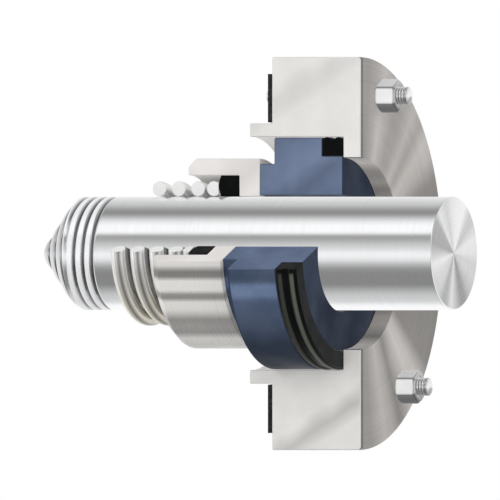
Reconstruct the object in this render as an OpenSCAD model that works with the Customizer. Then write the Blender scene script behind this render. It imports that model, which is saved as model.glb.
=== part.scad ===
// Pusher mechanical seal on its shaft, cut open for display.
// +X runs along the shaft to the drive end, +Z is up, and -Y is the side that is cut open.
// The origin is on the shaft's axis, in the plane of the gland plate's mounting face.

/* [Shaft] */
// Diameter of the shaft
shaft_d = 50; // [46:0.5:52]
// Length from the mounting face to the drive end
shaft_drive_l = 88; // [75:1:140]
// Length from the mounting face to the start of the impeller thread
shaft_wet_l = 74.4; // [70:0.2:110]
// Pitch of the impeller thread
shaft_thread_pitch = 4.35; // [3:0.05:6]
// Number of grooves in the impeller thread
shaft_thread_grooves = 4; // [2:1:8]
// Depth of the impeller thread
shaft_thread_depth = 1.5; // [0.8:0.1:2.4]
// Length of the conical nose
nose_l = 19; // [14:0.5:26]
// Number of rounded steps on the nose
nose_steps = 3; // [2:1:5]
// Radius of the nose's tip
nose_tip_r = 1.6; // [1:0.1:3]
// Chamfer round the drive end
shaft_chamfer = 0.8; // [0.3:0.1:2]

/* [Gland plate] */
// Outer diameter of the gland plate
gland_d = 173; // [164:1:200]
// Thickness of the gland plate
gland_t = 43; // [40:0.5:55]
// Diameter of the bore that takes the seat
gland_bore_d = 102.6; // [100:0.2:106]
// Thickness of the rear flange behind the seat
gland_flange_t = 8.5; // [5:0.5:10]
// Diameter of the hole through the rear flange
gland_flange_bore_d = 84; // [76:0.5:92]
// Wall of the pilot lip round the bore
pilot_t = 6; // [4:0.2:7]
// Length of the pilot lip
pilot_l = 10.8; // [5:0.2:14]
// Chamfer on the gland plate's edges
gland_chamfer = 1; // [0.4:0.1:2]

/* [Gasket] */
// Thickness of the gasket
gasket_t = 2; // [1:0.25:3]
// Distance from the gland plate's rim to the gasket's rim
gasket_rim_l = 7.5; // [6:0.5:8]
// Clearance of the gasket round the pilot lip
gasket_gap = 0.4; // [0.1:0.1:1]

/* [Studs and nuts] */
// Thread diameter of the studs
stud_d = 8; // [7.5:0.5:9]
// Distance from the gland plate's rim to the middle of the studs
stud_rim_l = 14; // [13.5:0.5:15]
// Angle of the upper stud from the top, towards the back
stud_upper_a = 17; // [12:1:40]
// Angle of the lower stud from the bottom, towards the back
stud_lower_a = 36; // [12:1:60]
// Length of the stud that stands out behind the gasket
stud_free_l = 9; // [8:0.5:20]
// Length of the stud beyond its nut
stud_tip_l = 5.5; // [3:0.5:9]
// Diameter of the stud's waisted shank
stud_waist_d = 7; // [5:0.1:7.4]
// Clearance of the stud holes round the studs
stud_hole_gap = 0.5; // [0.2:0.1:1]
// Width of the nuts across their flats
nut_af = 13; // [12:0.5:16]
// Height of the nuts
nut_h = 9; // [6:0.5:11]
// Radial clearance between nut and stud
nut_gap = 0.05; // [0.02:0.01:0.1]

/* [Seat] */
// Length of the seat's body
seat_body_l = 33; // [31:0.5:33.5]
// Length of the seat's nose
seat_nose_l = 7; // [4:0.5:10]
// Outer diameter of the seat's nose
seat_nose_d = 78.8; // [74:0.2:82]
// Radial clearance between seat and gland bore
seat_gap = 0.3; // [0.1:0.05:0.6]
// Radial clearance between seat and shaft
seat_bore_gap = 0.6; // [0.3:0.1:2]
// Gap between the seat's rear face and the rear flange
seat_rear_gap = 0.4; // [0.1:0.1:0.8]
// Chamfer on the seat's edges
seat_chamfer = 0.8; // [0.2:0.1:1.2]

/* [Seat ring] */
// Radial height of the groove for the seat ring
seat_ring_h = 8.5; // [7:0.5:10]
// Length of the groove for the seat ring
seat_groove_l = 9.9; // [8:0.1:12]
// Radius of the two ribs on the seat ring
seat_rib_r = 1.7; // [1:0.1:2]
// Clearance of the seat ring in its groove
seat_ring_gap = 0.05; // [0.02:0.01:0.1]

/* [Rotary ring] */
// Length of the rotary ring
ring_l = 34.5; // [28:0.1:36]
// Thickness of the web behind the seal face
ring_web_t = 9.9; // [8:0.1:12]
// Wall of the skirt round the spring
ring_skirt_t = 7.4; // [5:0.2:8]
// Chamfer on the skirt's open end
ring_end_chamfer = 3.8; // [2:0.2:4.4]
// Radial running clearance of the rotary ring on the shaft
ring_gap = 0.1; // [0.05:0.05:0.2]

/* [Shaft ring] */
// Length of the shaft ring's straight flank
shaft_ring_l = 8.8; // [6:0.1:10]
// Height of the bulge on the shaft ring's open side
shaft_ring_bulge = 1.3; // [0.5:0.1:2]
// Clearance of the shaft ring inside the skirt
shaft_ring_gap = 0.05; // [0.02:0.01:0.1]

/* [Spring] */
// Diameter of the spring wire
wire_d = 6.6; // [5:0.1:7]
// Pitch of the working turns
spring_pitch = 9.3; // [8.2:0.1:10]
// Number of turns, counted from the ground end
spring_turns = 4.45; // [3.45:1:4.45]
// Number of closed turns at the ground end
spring_closed_turns = 1.1; // [1:0.05:1.4]
// Gap between the closed turns
spring_turn_gap = 0.15; // [0.1:0.05:0.3]
// Radial clearance between spring and shaft
spring_bore_gap = 0.2; // [0.1:0.05:0.5]
// Radial clearance between spring and skirt
spring_skirt_gap = 2.6; // [1:0.1:3.4]
// Gap between the ground end and the shaft ring
spring_end_gap = 0.05; // [0.02:0.01:0.1]

/* [Section] */
// Tilt of the lower cut plane
cut_tilt = 22; // [5:0.5:30]
// Height of the lower cut plane over the axis
cut_h = 12.45; // [4:0.05:18]

/* [Hidden] */

shaft_r = shaft_d / 2;
gland_r = gland_d / 2;
bore_r = gland_bore_d / 2;
pilot_r = bore_r + pilot_t;
stud_r = stud_d / 2;
stud_circle_r = gland_r - stud_rim_l;
nut_corner_r = nut_af / sqrt(3);
far = gland_d + shaft_drive_l + shaft_wet_l;

// Places along the shaft, from the gland plate's rear flange towards the impeller
flange_x = gland_t - gland_flange_t;
seat_rear_x = flange_x - seat_rear_gap;
seat_front_x = seat_rear_x - seat_body_l;
face_x = seat_front_x - seat_nose_l;
web_x = face_x - ring_web_t;
ring_end_x = face_x - ring_l;
shaft_ring_x = web_x - shaft_ring_l;
spring_x = shaft_ring_x - shaft_ring_bulge - spring_end_gap;
thread_x = -shaft_wet_l;
nose_x = thread_x - (shaft_thread_grooves - 0.25) * shaft_thread_pitch;

seat_r = bore_r - seat_gap;
seat_bore_r = shaft_r + seat_bore_gap;
seat_groove_r = bore_r - seat_ring_h;
seat_groove_x = seat_rear_x - seat_groove_l;

// Radii from the shaft outwards: the spring, the skirt round it and the ring's outer face
spring_mean_r = shaft_r + spring_bore_gap + wire_d / 2;
skirt_r = spring_mean_r + wire_d / 2 + spring_skirt_gap;
ring_r = skirt_r + ring_skirt_t;
edge = 0.4;

// Angles are measured about +X from +Y towards +Z
upper_stud_a = 90 - stud_upper_a;
lower_stud_a = stud_lower_a - 90;
spring_tip_a = -61;
spring_closed_lead = wire_d + spring_turn_gap;
spring_sides = 12;
spring_steps = 40;
spring_blend = 0.3;

// Points on a round bulge between two radii, as [radius, x]: a sine arch standing out from x by h
function bulge(r0, r1, x, h, steps = 6) =
    [for (i = [0:steps]) [r0 + (r1 - r0) * i / steps, x + h * sin(180 * i / steps)]];

// Turns an outline of [radius, x] points about the shaft's axis
module turned(outline) {
    rotate([0, 90, 0]) rotate_extrude($fn = 180) polygon(outline);
}

// Turns a drawn 2D shape, with x as radius and y along the shaft, about the shaft's axis
module turned_shape() {
    rotate([0, 90, 0]) rotate_extrude($fn = 180) children();
}

// A plain round bar along the shaft's axis from x0 to x1
module bar(r, x0, x1) {
    translate([x0, 0, 0]) rotate([0, 90, 0]) cylinder(r = r, h = x1 - x0, $fn = 96);
}

// Puts a piece on the stud circle, at an angle about +X from +Y towards +Z
module on_stud_circle(a) {
    translate([0, stud_circle_r * cos(a), stud_circle_r * sin(a)]) children();
}

// Height of the tilted lower cut plane at a given y
function cut_z(y) = (cut_h + y * sin(cut_tilt)) / cos(cut_tilt);

// Removes the front top corner, above the tilted plane and in front of the upright one
module front_corner_removed() {
    difference() {
        children();
        translate([-far, 0, 0]) rotate([90, 0, 90]) linear_extrude(2 * far)
            polygon([[0, cut_z(0)], [0, far], [-far, far], [-far, cut_z(-far)]]);
    }
}

// Removes everything in front of the upright plane through the shaft's axis
module front_half_removed() {
    difference() {
        children();
        translate([-far, -2 * far, -far]) cube(2 * far);
    }
}

// The threaded end, from its start to the nose, as [radius, x]: pointed grooves at one pitch
function thread_outline() = [
    for (i = [0:shaft_thread_grooves - 1], k = [0:2])
        [
            shaft_r - (k == 1 ? shaft_thread_depth : 0),
            thread_x - (i + 0.16 + 0.2 * k) * shaft_thread_pitch
        ]
];

// The conical nose, as [radius, x]: rounded steps that get smaller towards the tip
function nose_outline() = [
    for (i = [0:nose_steps - 1], k = [0:4])
        let (
            base_r = shaft_r - 1.2,
            step_r = (base_r - nose_tip_r) / nose_steps,
            step_l = nose_l / nose_steps,
            a = 22.5 * k
        )
        [
            base_r - step_r * (i + 0.82 * (1 - cos(a)) + (k == 4 ? 0.18 : 0)),
            nose_x - step_l * (i + sin(a))
        ]
];

module shaft() {
    color([0.86, 0.87, 0.89])
        turned(concat(
            [
                [0, shaft_drive_l],
                [shaft_r - shaft_chamfer, shaft_drive_l],
                [shaft_r, shaft_drive_l - shaft_chamfer]
            ],
            thread_outline(),
            nose_outline(),
            [[0, nose_x - nose_l]]
        ));
}

// The spring's centre line runs back from its ground tip. s counts turns from that tip.
function spring_lead(s) =
    let (u = s - spring_closed_turns)
    spring_closed_lead * s
    + (spring_pitch - spring_closed_lead)
        * (u < 0 ? 0 : u < spring_blend ? u * u / (2 * spring_blend) : u - spring_blend / 2);

// One point on the wire: s turns from the tip, and angle w round the wire
function wire_point(s, w) =
    let (a = spring_tip_a - 360 * s, r = spring_mean_r + wire_d / 2 * cos(w))
    [spring_x + wire_d / 4 - spring_lead(s) + wire_d / 2 * sin(w), r * cos(a), r * sin(a)];

module spring_wire() {
    rings = ceil(spring_turns * spring_steps);
    points = [
        for (i = [0:rings], k = [0:spring_sides - 1])
            wire_point(spring_turns * i / rings, 360 * k / spring_sides)
    ];
    sides = [
        for (i = [0:rings - 1], k = [0:spring_sides - 1])
            let (next = (k + 1) % spring_sides)
            [
                i * spring_sides + k,
                i * spring_sides + next,
                (i + 1) * spring_sides + next,
                (i + 1) * spring_sides + k
            ]
    ];
    first_end = [for (k = [spring_sides - 1:-1:0]) k];
    last_end = [for (k = [0:spring_sides - 1]) rings * spring_sides + k];
    polyhedron(points, concat([first_end], sides, [last_end]), convexity = 10);
}

module spring() {
    color([0.80, 0.80, 0.78]) front_corner_removed() difference() {
        spring_wire();
        translate([spring_x, -far / 2, -far / 2]) cube(far);
    }
}

module rotary_ring() {
    bore = shaft_r + ring_gap;
    color([0.80, 0.76, 0.70]) front_corner_removed() turned([
        [bore + edge, face_x],
        [ring_r - edge, face_x],
        [ring_r, face_x - edge],
        [ring_r, ring_end_x + ring_end_chamfer],
        [ring_r - ring_end_chamfer, ring_end_x],
        [skirt_r + edge, ring_end_x],
        [skirt_r, ring_end_x + edge],
        [skirt_r, web_x],
        [bore, web_x],
        [bore, face_x - edge]
    ]);
}

module shaft_ring() {
    inner = shaft_r + ring_gap;
    outer = skirt_r - shaft_ring_gap;
    color([0.08, 0.08, 0.08]) front_corner_removed() turned(concat(
        [[outer, web_x], [inner, web_x]],
        bulge(inner, outer, shaft_ring_x, -shaft_ring_bulge)
    ));
}

module seat() {
    c = seat_chamfer;
    nose_r = seat_nose_d / 2;
    color([0.33, 0.40, 0.58]) front_corner_removed() turned([
        [seat_bore_r + c, seat_rear_x],
        [seat_groove_r - c, seat_rear_x],
        [seat_groove_r, seat_rear_x - c],
        [seat_groove_r, seat_groove_x],
        [seat_r - edge, seat_groove_x],
        [seat_r, seat_groove_x - edge],
        [seat_r, seat_front_x + c],
        [seat_r - c, seat_front_x],
        [nose_r, seat_front_x],
        [nose_r, face_x + edge],
        [nose_r - edge, face_x],
        [seat_bore_r + edge, face_x],
        [seat_bore_r, face_x + edge],
        [seat_bore_r, seat_rear_x - c]
    ]);
}

module seat_ring() {
    inner = seat_groove_r + seat_ring_gap;
    outer = bore_r - seat_ring_gap;
    x0 = seat_groove_x + seat_ring_gap;
    x1 = flange_x - seat_ring_gap;
    color([0.10, 0.11, 0.09]) front_corner_removed() turned_shape() {
        translate([inner, x0]) square([outer - inner - seat_rib_r, x1 - x0]);
        for (x = [x0 + seat_rib_r, x1 - seat_rib_r])
            translate([outer - seat_rib_r, x]) circle(seat_rib_r, $fn = 48);
    }
}

module gland_plate() {
    c = gland_chamfer;
    color([0.80, 0.78, 0.74]) front_half_removed() difference() {
        turned([
            [gland_flange_bore_d / 2 + c, gland_t],
            [gland_r - c, gland_t],
            [gland_r, gland_t - c],
            [gland_r, c],
            [gland_r - c, 0],
            [pilot_r, 0],
            [pilot_r, edge - pilot_l],
            [pilot_r - edge, -pilot_l],
            [bore_r + c, -pilot_l],
            [bore_r, c - pilot_l],
            [bore_r, flange_x],
            [gland_flange_bore_d / 2, flange_x],
            [gland_flange_bore_d / 2, gland_t - c]
        ]);
        for (a = [upper_stud_a, lower_stud_a])
            on_stud_circle(a) bar(stud_r + stud_hole_gap, -gland_t, 2 * gland_t);
    }
}

module gland_gasket() {
    color([0.10, 0.10, 0.10]) front_half_removed() difference() {
        bar(gland_r - gasket_rim_l, -gasket_t, 0);
        bar(pilot_r + gasket_gap, -2 * gasket_t, gasket_t);
        for (a = [upper_stud_a, lower_stud_a])
            on_stud_circle(a) bar(stud_r + stud_hole_gap, -2 * gasket_t, gasket_t);
    }
}

// A stud with a waisted shank inside the gland, a chamfered free end and a domed outer end
module stud(a) {
    c = 0.8;
    waist_r = stud_waist_d / 2;
    free_x = -gasket_t - stud_free_l;
    tip_x = gland_t + nut_h + stud_tip_l;
    dome = 0.35 * stud_r;
    color([0.80, 0.80, 0.80]) on_stud_circle(a) rotate([0, 90, 0]) rotate_extrude($fn = 48)
        polygon(concat(
            [
                [0, free_x],
                [stud_r - c, free_x],
                [stud_r, free_x + c],
                [stud_r, -gasket_t],
                [waist_r, -gasket_t + stud_r - waist_r],
                [waist_r, gland_t - stud_r],
                [stud_r, gland_t - waist_r]
            ],
            [for (k = [0:4]) [stud_r * cos(22.5 * k), tip_x - dome * (1 - sin(22.5 * k))]]
        ));
}

// A hexagon nut with both faces chamfered, resting on the gland plate
module nut(a) {
    c = nut_corner_r - nut_af / 2 + 0.3;
    slope = c * tan(30);
    color([0.85, 0.85, 0.84]) on_stud_circle(a) difference() {
        intersection() {
            translate([gland_t, 0, 0]) rotate([0, 90, 0])
                cylinder(r = nut_corner_r, h = nut_h, $fn = 6);
            rotate([0, 90, 0]) rotate_extrude($fn = 96) polygon([
                [0, gland_t],
                [nut_corner_r - c, gland_t],
                [nut_corner_r + 1, gland_t + (c + 1) * tan(30)],
                [nut_corner_r + 1, gland_t + nut_h - (c + 1) * tan(30)],
                [nut_corner_r - c, gland_t + nut_h],
                [0, gland_t + nut_h]
            ]);
        }
        bar(stud_r + nut_gap, 0, gland_t + 2 * nut_h);
    }
}

module stud_upper() { stud(upper_stud_a); }
module stud_lower() { stud(lower_stud_a); }
module nut_upper() { nut(upper_stud_a); }
module nut_lower() { nut(lower_stud_a); }

shaft();
spring();
rotary_ring();
shaft_ring();
seat();
seat_ring();
gland_plate();
gland_gasket();
stud_upper();
stud_lower();
nut_upper();
nut_lower();
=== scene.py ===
import bmesh
import bpy
import numpy as np
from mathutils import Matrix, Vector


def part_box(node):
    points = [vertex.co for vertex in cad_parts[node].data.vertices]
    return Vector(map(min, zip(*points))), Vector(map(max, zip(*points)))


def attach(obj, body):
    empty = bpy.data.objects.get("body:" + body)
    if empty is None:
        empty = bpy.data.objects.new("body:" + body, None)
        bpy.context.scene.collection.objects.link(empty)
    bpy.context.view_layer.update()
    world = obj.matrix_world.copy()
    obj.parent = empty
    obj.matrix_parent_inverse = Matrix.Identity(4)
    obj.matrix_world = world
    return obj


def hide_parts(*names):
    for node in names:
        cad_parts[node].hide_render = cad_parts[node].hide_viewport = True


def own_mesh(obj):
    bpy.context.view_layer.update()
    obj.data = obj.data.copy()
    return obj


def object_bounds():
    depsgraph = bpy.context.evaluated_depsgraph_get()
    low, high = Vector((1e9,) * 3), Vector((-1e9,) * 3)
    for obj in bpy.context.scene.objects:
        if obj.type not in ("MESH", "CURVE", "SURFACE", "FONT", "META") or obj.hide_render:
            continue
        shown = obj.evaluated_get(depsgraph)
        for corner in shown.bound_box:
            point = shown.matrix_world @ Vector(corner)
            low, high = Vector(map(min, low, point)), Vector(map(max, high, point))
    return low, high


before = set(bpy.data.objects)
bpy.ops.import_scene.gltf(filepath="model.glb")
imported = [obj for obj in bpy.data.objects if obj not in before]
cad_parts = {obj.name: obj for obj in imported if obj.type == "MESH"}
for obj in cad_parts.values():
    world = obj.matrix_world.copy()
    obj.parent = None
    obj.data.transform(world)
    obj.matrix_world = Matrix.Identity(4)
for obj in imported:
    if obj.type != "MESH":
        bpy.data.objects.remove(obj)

cad_low, cad_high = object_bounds()
scene = bpy.context.scene


# The shaft.
# One stainless bar, turned between centres, then ground and polished where the seal slides. Its
# left end has a coarse left-hand thread and a stepped nose, both cut in the same lathe.
mm = 0.001
thread_start_x = -73.4
first_groove_x = -76.0
thread_pitch = 4.35
groove_depth = 1.5
groove_start_turns = (-0.5, -0.3)
groove_end_turns = (2.7, 3.15)
nose_x = -90.71
nose_gap = 0.4
nose_base_r = 23.8
nose_tip_r = 1.0
nose_steps = 3
# Painted shade over the nose
nose_painted_shade = 0.42
notch_l = 1.0
notch_depth = 0.7
end_round = 0.8
end_zone_x = 80
squarely = 0.95  # a face looks along the shaft where its normal's x is above this
noise_span = (0.35, 0.65)  # patches seldom leave this span
ring_wander = 0.0008  # how little a lathe's rings change with direction
# How far behind the upright cut the painted shade on the gland's face reaches
cut_shade_reach = 20 * mm
polished = (0.985, 0.99, 1.0, 1)
polished_deep = (0.94, 0.945, 0.955, 1)
# The colour of the painted shade in the thread's grooves and on the nose
groove_painted_shade = (0.12, 0.12, 0.13, 1)


def node_box(node):
    """A CAD node's lowest and highest corner as arrays of millimetres."""
    low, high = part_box(node)
    return np.array(low) / mm, np.array(high) / mm


def smooth_step(value, start, end):
    """0 before start, 1 after end, and 3t^2 - 2t^3 between, with t the way from start to end."""
    t = np.clip((value - start) / (end - start), 0, 1)
    return t * t * (3 - 2 * t)


def loft_faces(rings, closed):
    """Faces of the surface through rings of points, each ring a loop of as many points.

    Quads join every point to its neighbours on its ring and on the next ring. The last ring joins
    the first where closed is set. Otherwise a flat cap closes the first and the last ring.
    """
    count, around = rings.shape[:2]
    row = np.arange(count if closed else count - 1)[:, None]
    column = np.arange(around)[None, :]
    next_row = (row + 1) % count
    next_column = (column + 1) % around
    corners = [
        row * around + column,
        row * around + next_column,
        next_row * around + next_column,
        next_row * around + column,
    ]
    faces = np.stack(corners, axis=-1).reshape(-1, 4).tolist()
    if not closed:
        faces.append(np.arange(around)[::-1].tolist())
        faces.append(np.arange((count - 1) * around, count * around).tolist())
    return faces


def add_piece(
    name, shells, finishes, finish_of=None, closed=False, values=None, sharp_angle=38,
    mirrored=False,
):
    """Puts lofted shells, in millimetres, into one mesh whose faces point outwards.

    The signed volume of the closed shells shows which way they face, and they are turned round
    where it is negative. finish_of picks each face's finish from its centre and normal. values
    holds named arrays with one number for each point, for the materials. Other pieces' polish
    shows this piece only where mirrored is set, so that the bands on the shaft stay even.
    """
    faces = []
    start = 0
    for rings in shells:
        faces += [[corner + start for corner in face] for face in loft_faces(rings, closed)]
        start += rings.shape[0] * rings.shape[1]
    points = np.concatenate([rings.reshape(-1, 3) for rings in shells]) * mm
    mesh = bpy.data.meshes.new(name)
    mesh.from_pydata(points.tolist(), [], faces)
    for key, numbers in (values or {}).items():
        mesh.attributes.new(key, "FLOAT", "POINT").data.foreach_set("value", numbers.ravel())
    shape = bmesh.new()
    shape.from_mesh(mesh)
    if shape.calc_volume(signed=True) < 0:
        bmesh.ops.reverse_faces(shape, faces=shape.faces)
        shape.to_mesh(mesh)
    shape.free()
    for finish in finishes:
        mesh.materials.append(finish)
    mesh.shade_smooth()
    mesh.set_sharp_from_angle(angle=np.radians(sharp_angle))
    if finish_of:
        centre = np.empty(len(mesh.polygons) * 3)
        normal = np.empty(len(mesh.polygons) * 3)
        mesh.polygons.foreach_get("center", centre)
        mesh.polygons.foreach_get("normal", normal)
        chosen = finish_of(centre.reshape(-1, 3) / mm, normal.reshape(-1, 3))
        mesh.polygons.foreach_set("material_index", chosen.astype(np.int32))
    piece = bpy.data.objects.new(name, mesh)
    piece.visible_glossy = mirrored
    scene.collection.objects.link(piece)
    flats = piece.modifiers.new("even flats", "WEIGHTED_NORMAL")
    flats.keep_sharp = True
    return piece


def around_axis(x, radius, angle, middle=(0, 0)):
    """Points at an x, a radius and an angle about a line along X, from +Y towards +Z."""
    x, radius, angle = np.broadcast_arrays(x, radius, angle)
    across = middle[0] + radius * np.cos(angle)
    up = middle[1] + radius * np.sin(angle)
    return np.stack([x, across, up], axis=-1)


def new_finish(name, constants):
    """A material with one Principled shader. The constants go straight onto its sockets."""
    finish = bpy.data.materials.new(name)
    finish.use_nodes = True
    shader = finish.node_tree.nodes["Principled BSDF"]
    for socket, value in constants.items():
        shader.inputs[socket].default_value = value
    return finish, finish.node_tree, shader


def add_node(tree, kind, inputs, **settings):
    """A shader node with its settings. Each input takes a value, or a link for an output."""
    node = tree.nodes.new(kind)
    for key, value in settings.items():
        setattr(node, key, value)
    for socket, value in inputs.items():
        if isinstance(value, bpy.types.NodeSocket):
            tree.links.new(value, node.inputs[socket])
        else:
            node.inputs[socket].default_value = value
    return node


def maths(tree, operation, *values):
    """The result of one sum on numbers or outputs."""
    inputs = dict(enumerate(values))
    return add_node(tree, "ShaderNodeMath", inputs, operation=operation).outputs[0]


def vector_maths(tree, operation, *values, result=0):
    """The result of one sum on vectors."""
    inputs = dict(enumerate(values))
    return add_node(tree, "ShaderNodeVectorMath", inputs, operation=operation).outputs[result]


def split(tree, vector):
    """A vector's x, y and z."""
    return add_node(tree, "ShaderNodeSeparateXYZ", {0: vector}).outputs


def joined(tree, x, y, z):
    """The vector of an x, a y and a z."""
    return add_node(tree, "ShaderNodeCombineXYZ", {0: x, 1: y, 2: z}).outputs[0]


def own_place(tree):
    """A point's own place on the part, in metres."""
    return add_node(tree, "ShaderNodeTexCoord", {}).outputs["Object"]


def mesh_value(tree, name):
    """The number that a piece's mesh holds for a point under a name."""
    return add_node(tree, "ShaderNodeAttribute", {}, attribute_name=name).outputs["Fac"]


def blended(tree, share, first, second, blend="MIX"):
    """The first colour turned into the second by a share from 0 to 1."""
    inputs = {0: share, 6: first, 7: second}
    node = add_node(tree, "ShaderNodeMix", inputs, data_type="RGBA", blend_type=blend)
    return node.outputs[2]


def from_range(tree, value, low, high, new_low, new_high):
    """A value's place between low and high, held inside them, set between two new ends."""
    inputs = {"Value": value, 1: low, 2: high, 3: new_low, 4: new_high}
    return add_node(tree, "ShaderNodeMapRange", inputs, interpolation_type="SMOOTHSTEP").outputs[0]


def shades(tree, place, stops):
    """A grey for each place from 0 to 1, from (place, grey) stops with the grey as seen, 0 to 255.

    A seen grey g is the light ((g/255 + 0.055) / 1.055)^2.4.
    """
    node = add_node(tree, "ShaderNodeValToRGB", {0: place})
    band = node.color_ramp
    while len(band.elements) < len(stops):
        band.elements.new(0.5)
    for element, (at, grey) in zip(band.elements, sorted(stops)):
        element.position = at
        light = ((grey / 255 + 0.055) / 1.055) ** 2.4
        element.color = (light, light, light, 1)
    return node.outputs[0]


def shaded(tree, colour, place, stops, share=1.0):
    """A colour multiplied, by a share from 0 to 1, by the shades at a place."""
    return blended(tree, share, colour, shades(tree, place, stops), "MULTIPLY")


def whole_turn(tree, up, across):
    """The angle of a direction, from 0 to 1 for half a turn below across to half a turn above."""
    return maths(tree, "MULTIPLY_ADD", maths(tree, "ARCTAN2", up, across), 0.5 / np.pi, 0.5)


def patches(tree, place, scale, detail):
    """Soft random patches from 0 to 1 at a place, with scale patches to a metre."""
    inputs = {"Vector": place, "Scale": scale, "Detail": detail}
    return add_node(tree, "ShaderNodeTexNoise", inputs).outputs[0]


def two_patches(tree, first, second, share):
    """A share of the first patches with the rest of the second."""
    rest = maths(tree, "MULTIPLY", second, 1 - share)
    return maths(tree, "MULTIPLY_ADD", first, share, rest)


def dress(tree, shader, colour, rough, height, strength, depth=0.02):
    """Links a colour, a roughness and a bump to a shader. The bump's depth is in millimetres."""
    inputs = {"Strength": strength, "Distance": depth * mm, "Height": height}
    bump = add_node(tree, "ShaderNodeBump", inputs).outputs[0]
    tree.links.new(colour, shader.inputs["Base Color"])
    tree.links.new(rough, shader.inputs["Roughness"])
    tree.links.new(bump, shader.inputs["Normal"])


def turned_places(tree):
    """A point's own place, its x, its radius from the shaft's axis, and its direction from it."""
    place = own_place(tree)
    along, across, up = split(tree, place)
    outward = joined(tree, 0.0, across, up)
    radius = vector_maths(tree, "LENGTH", outward, result="Value")
    return place, along, radius, vector_maths(tree, "NORMALIZE", outward)


def turned_metal(
    name, pale, deep, roughness, metallic=1.0, lines=3200, lift=0.1, stretch=0.0, painted_fan=None,
    edge=None, groove=None,
):
    """Metal with the fine rings that a lathe or grinder leaves round the shaft's axis.

    The rings are noise that changes quickly with x plus radius and slowly with direction. They
    shift the colour, the roughness and the bump. The highlight is stretched across the rings.
    painted_fan gives shades by angle: painted highlight rays on a faced end, painted reflection
    bands on a turned side. edge gives painted shade by the distance behind the upright cut, up to
    cut_shade_reach. groove is the colour of painted shade, laid on by the mesh's groove value, and
    the mesh's crest value makes it scatter light, as a rolled crest does.
    """
    finish, tree, shader = new_finish(name, {"Metallic": metallic, "Anisotropic": stretch})
    place, along, radius, direction = turned_places(tree)
    _, across, up = split(tree, direction)
    ring = maths(tree, "MULTIPLY", maths(tree, "ADD", along, radius), lines / 1000)
    slow_across = maths(tree, "MULTIPLY", across, ring_wander)
    slow_up = maths(tree, "MULTIPLY", up, ring_wander)
    rings = patches(tree, joined(tree, ring, slow_across, slow_up), 1000, 3.0)
    shift = two_patches(tree, rings, patches(tree, place, 38, 3.0), 0.6)
    colour = blended(tree, from_range(tree, shift, *noise_span, 0.0, 1.0), deep, pale)
    # Painted highlight rays or painted reflection bands, by the angle round the axis
    if painted_fan:
        colour = shaded(tree, colour, whole_turn(tree, up, across), painted_fan)
    # Painted shade along the upright cut, by the distance behind it
    if edge:
        behind = maths(tree, "DIVIDE", split(tree, place)[1], cut_shade_reach)
        colour = shaded(tree, colour, behind, edge)
    # Painted shade in the thread's grooves and on the nose, by the mesh's groove value
    if groove:
        groove_shade = from_range(tree, mesh_value(tree, "groove"), 0.12, 0.85, 0.0, 0.9)
        colour = blended(tree, groove_shade, colour, groove)
        scatter = from_range(tree, mesh_value(tree, "crest"), 0.1, 0.7, metallic, 0.15)
        tree.links.new(scatter, shader.inputs["Metallic"])
    rough = from_range(tree, shift, *noise_span, roughness * 1.2, roughness * 0.85)
    dress(tree, shader, colour, rough, rings, lift)
    if stretch:
        # Across the rings is outwards on a faced end, and along the shaft on a turned side
        across_rings = vector_maths(tree, "ADD", direction, (1, 0, 0))
        world = {"vector_type": "VECTOR", "convert_from": "OBJECT", "convert_to": "WORLD"}
        turned = add_node(tree, "ShaderNodeVectorTransform", {0: across_rings}, **world)
        tree.links.new(turned.outputs[0], shader.inputs["Tangent"])
    return finish


def threaded_shaft():
    """Rings along the shaft, each point's painted shade, and how high it is on a crest.

    The thread is a groove whose depth is the cube of a raised cosine across one pitch. Its middle
    moves one pitch to the left for each turn from +Y towards +Z, and it fades in and out at its
    two ends. Each step of the nose goes along by half its share and half a sine, and in by half
    its share and half one minus a cosine. A notch in the shape of a raised cosine parts the steps.
    """
    low, high = node_box("shaft")
    shaft_r = high[2]
    angle = np.linspace(0, 2 * np.pi, 240, endpoint=False)
    quarter = np.linspace(0, np.pi / 2, 6)
    end_x = high[0] - end_round * (1 - np.cos(quarter))
    end_r = shaft_r - end_round * (1 - np.sin(quarter))
    plain_x = np.linspace(end_x[-1], thread_start_x, 24)[1:-1]
    thread_x = np.linspace(thread_start_x, nose_x + nose_gap, 132)
    whole = np.linspace(0, nose_steps, 24 * nose_steps + 1)
    step = np.minimum(np.floor(whole), nose_steps - 1)
    share = whole - step
    sine, cosine = np.sin(np.pi / 2 * share), np.cos(np.pi / 2 * share)
    nose_l = nose_x - low[0]
    nose_along = nose_x - nose_l / nose_steps * (step + 0.5 * share + 0.5 * sine)
    fall = step + 0.5 * share + 0.5 * (1 - cosine)
    next_notch = np.where(step < nose_steps - 1, 1 - share, 1)
    to_notch = np.minimum(share, next_notch) * nose_l / nose_steps
    notch = 0.5 + 0.5 * np.cos(np.pi * np.clip(to_notch / notch_l, 0, 1))
    nose_r = nose_base_r - (nose_base_r - nose_tip_r) / nose_steps * fall - notch_depth * notch
    x = np.concatenate([end_x, plain_x, thread_x, nose_along])[:, None]
    plain = np.full(len(plain_x) + len(thread_x), shaft_r)
    radius = np.concatenate([end_r, plain, nose_r])[:, None]
    helix = (angle - np.pi) / (2 * np.pi)
    travel = (first_groove_x - x) / thread_pitch - helix
    across = travel - np.round(travel)
    turns = np.round(travel) + helix
    fade = smooth_step(turns, *groove_start_turns) * (1 - smooth_step(turns, *groove_end_turns))
    wave = 0.5 + 0.5 * np.cos(2 * np.pi * across)
    in_thread = (x < thread_start_x) & (x > nose_x)
    groove = wave ** 3 * fade * in_thread
    # Painted shade, deepest in the middle of the thread's grooves
    dark = wave ** 2 * fade * in_thread
    # Painted shade over the whole nose, deepest in the notches between its steps
    dark[-len(notch):] = nose_painted_shade + (1 - nose_painted_shade) * notch[:, None]
    crest = (1 - wave) * smooth_step(travel, 0.1, 0.4) * in_thread
    return around_axis(x, radius - groove_depth * groove, angle), dark, crest


# Painted highlight rays on the faced end of the shaft, by the angle round its axis
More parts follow.
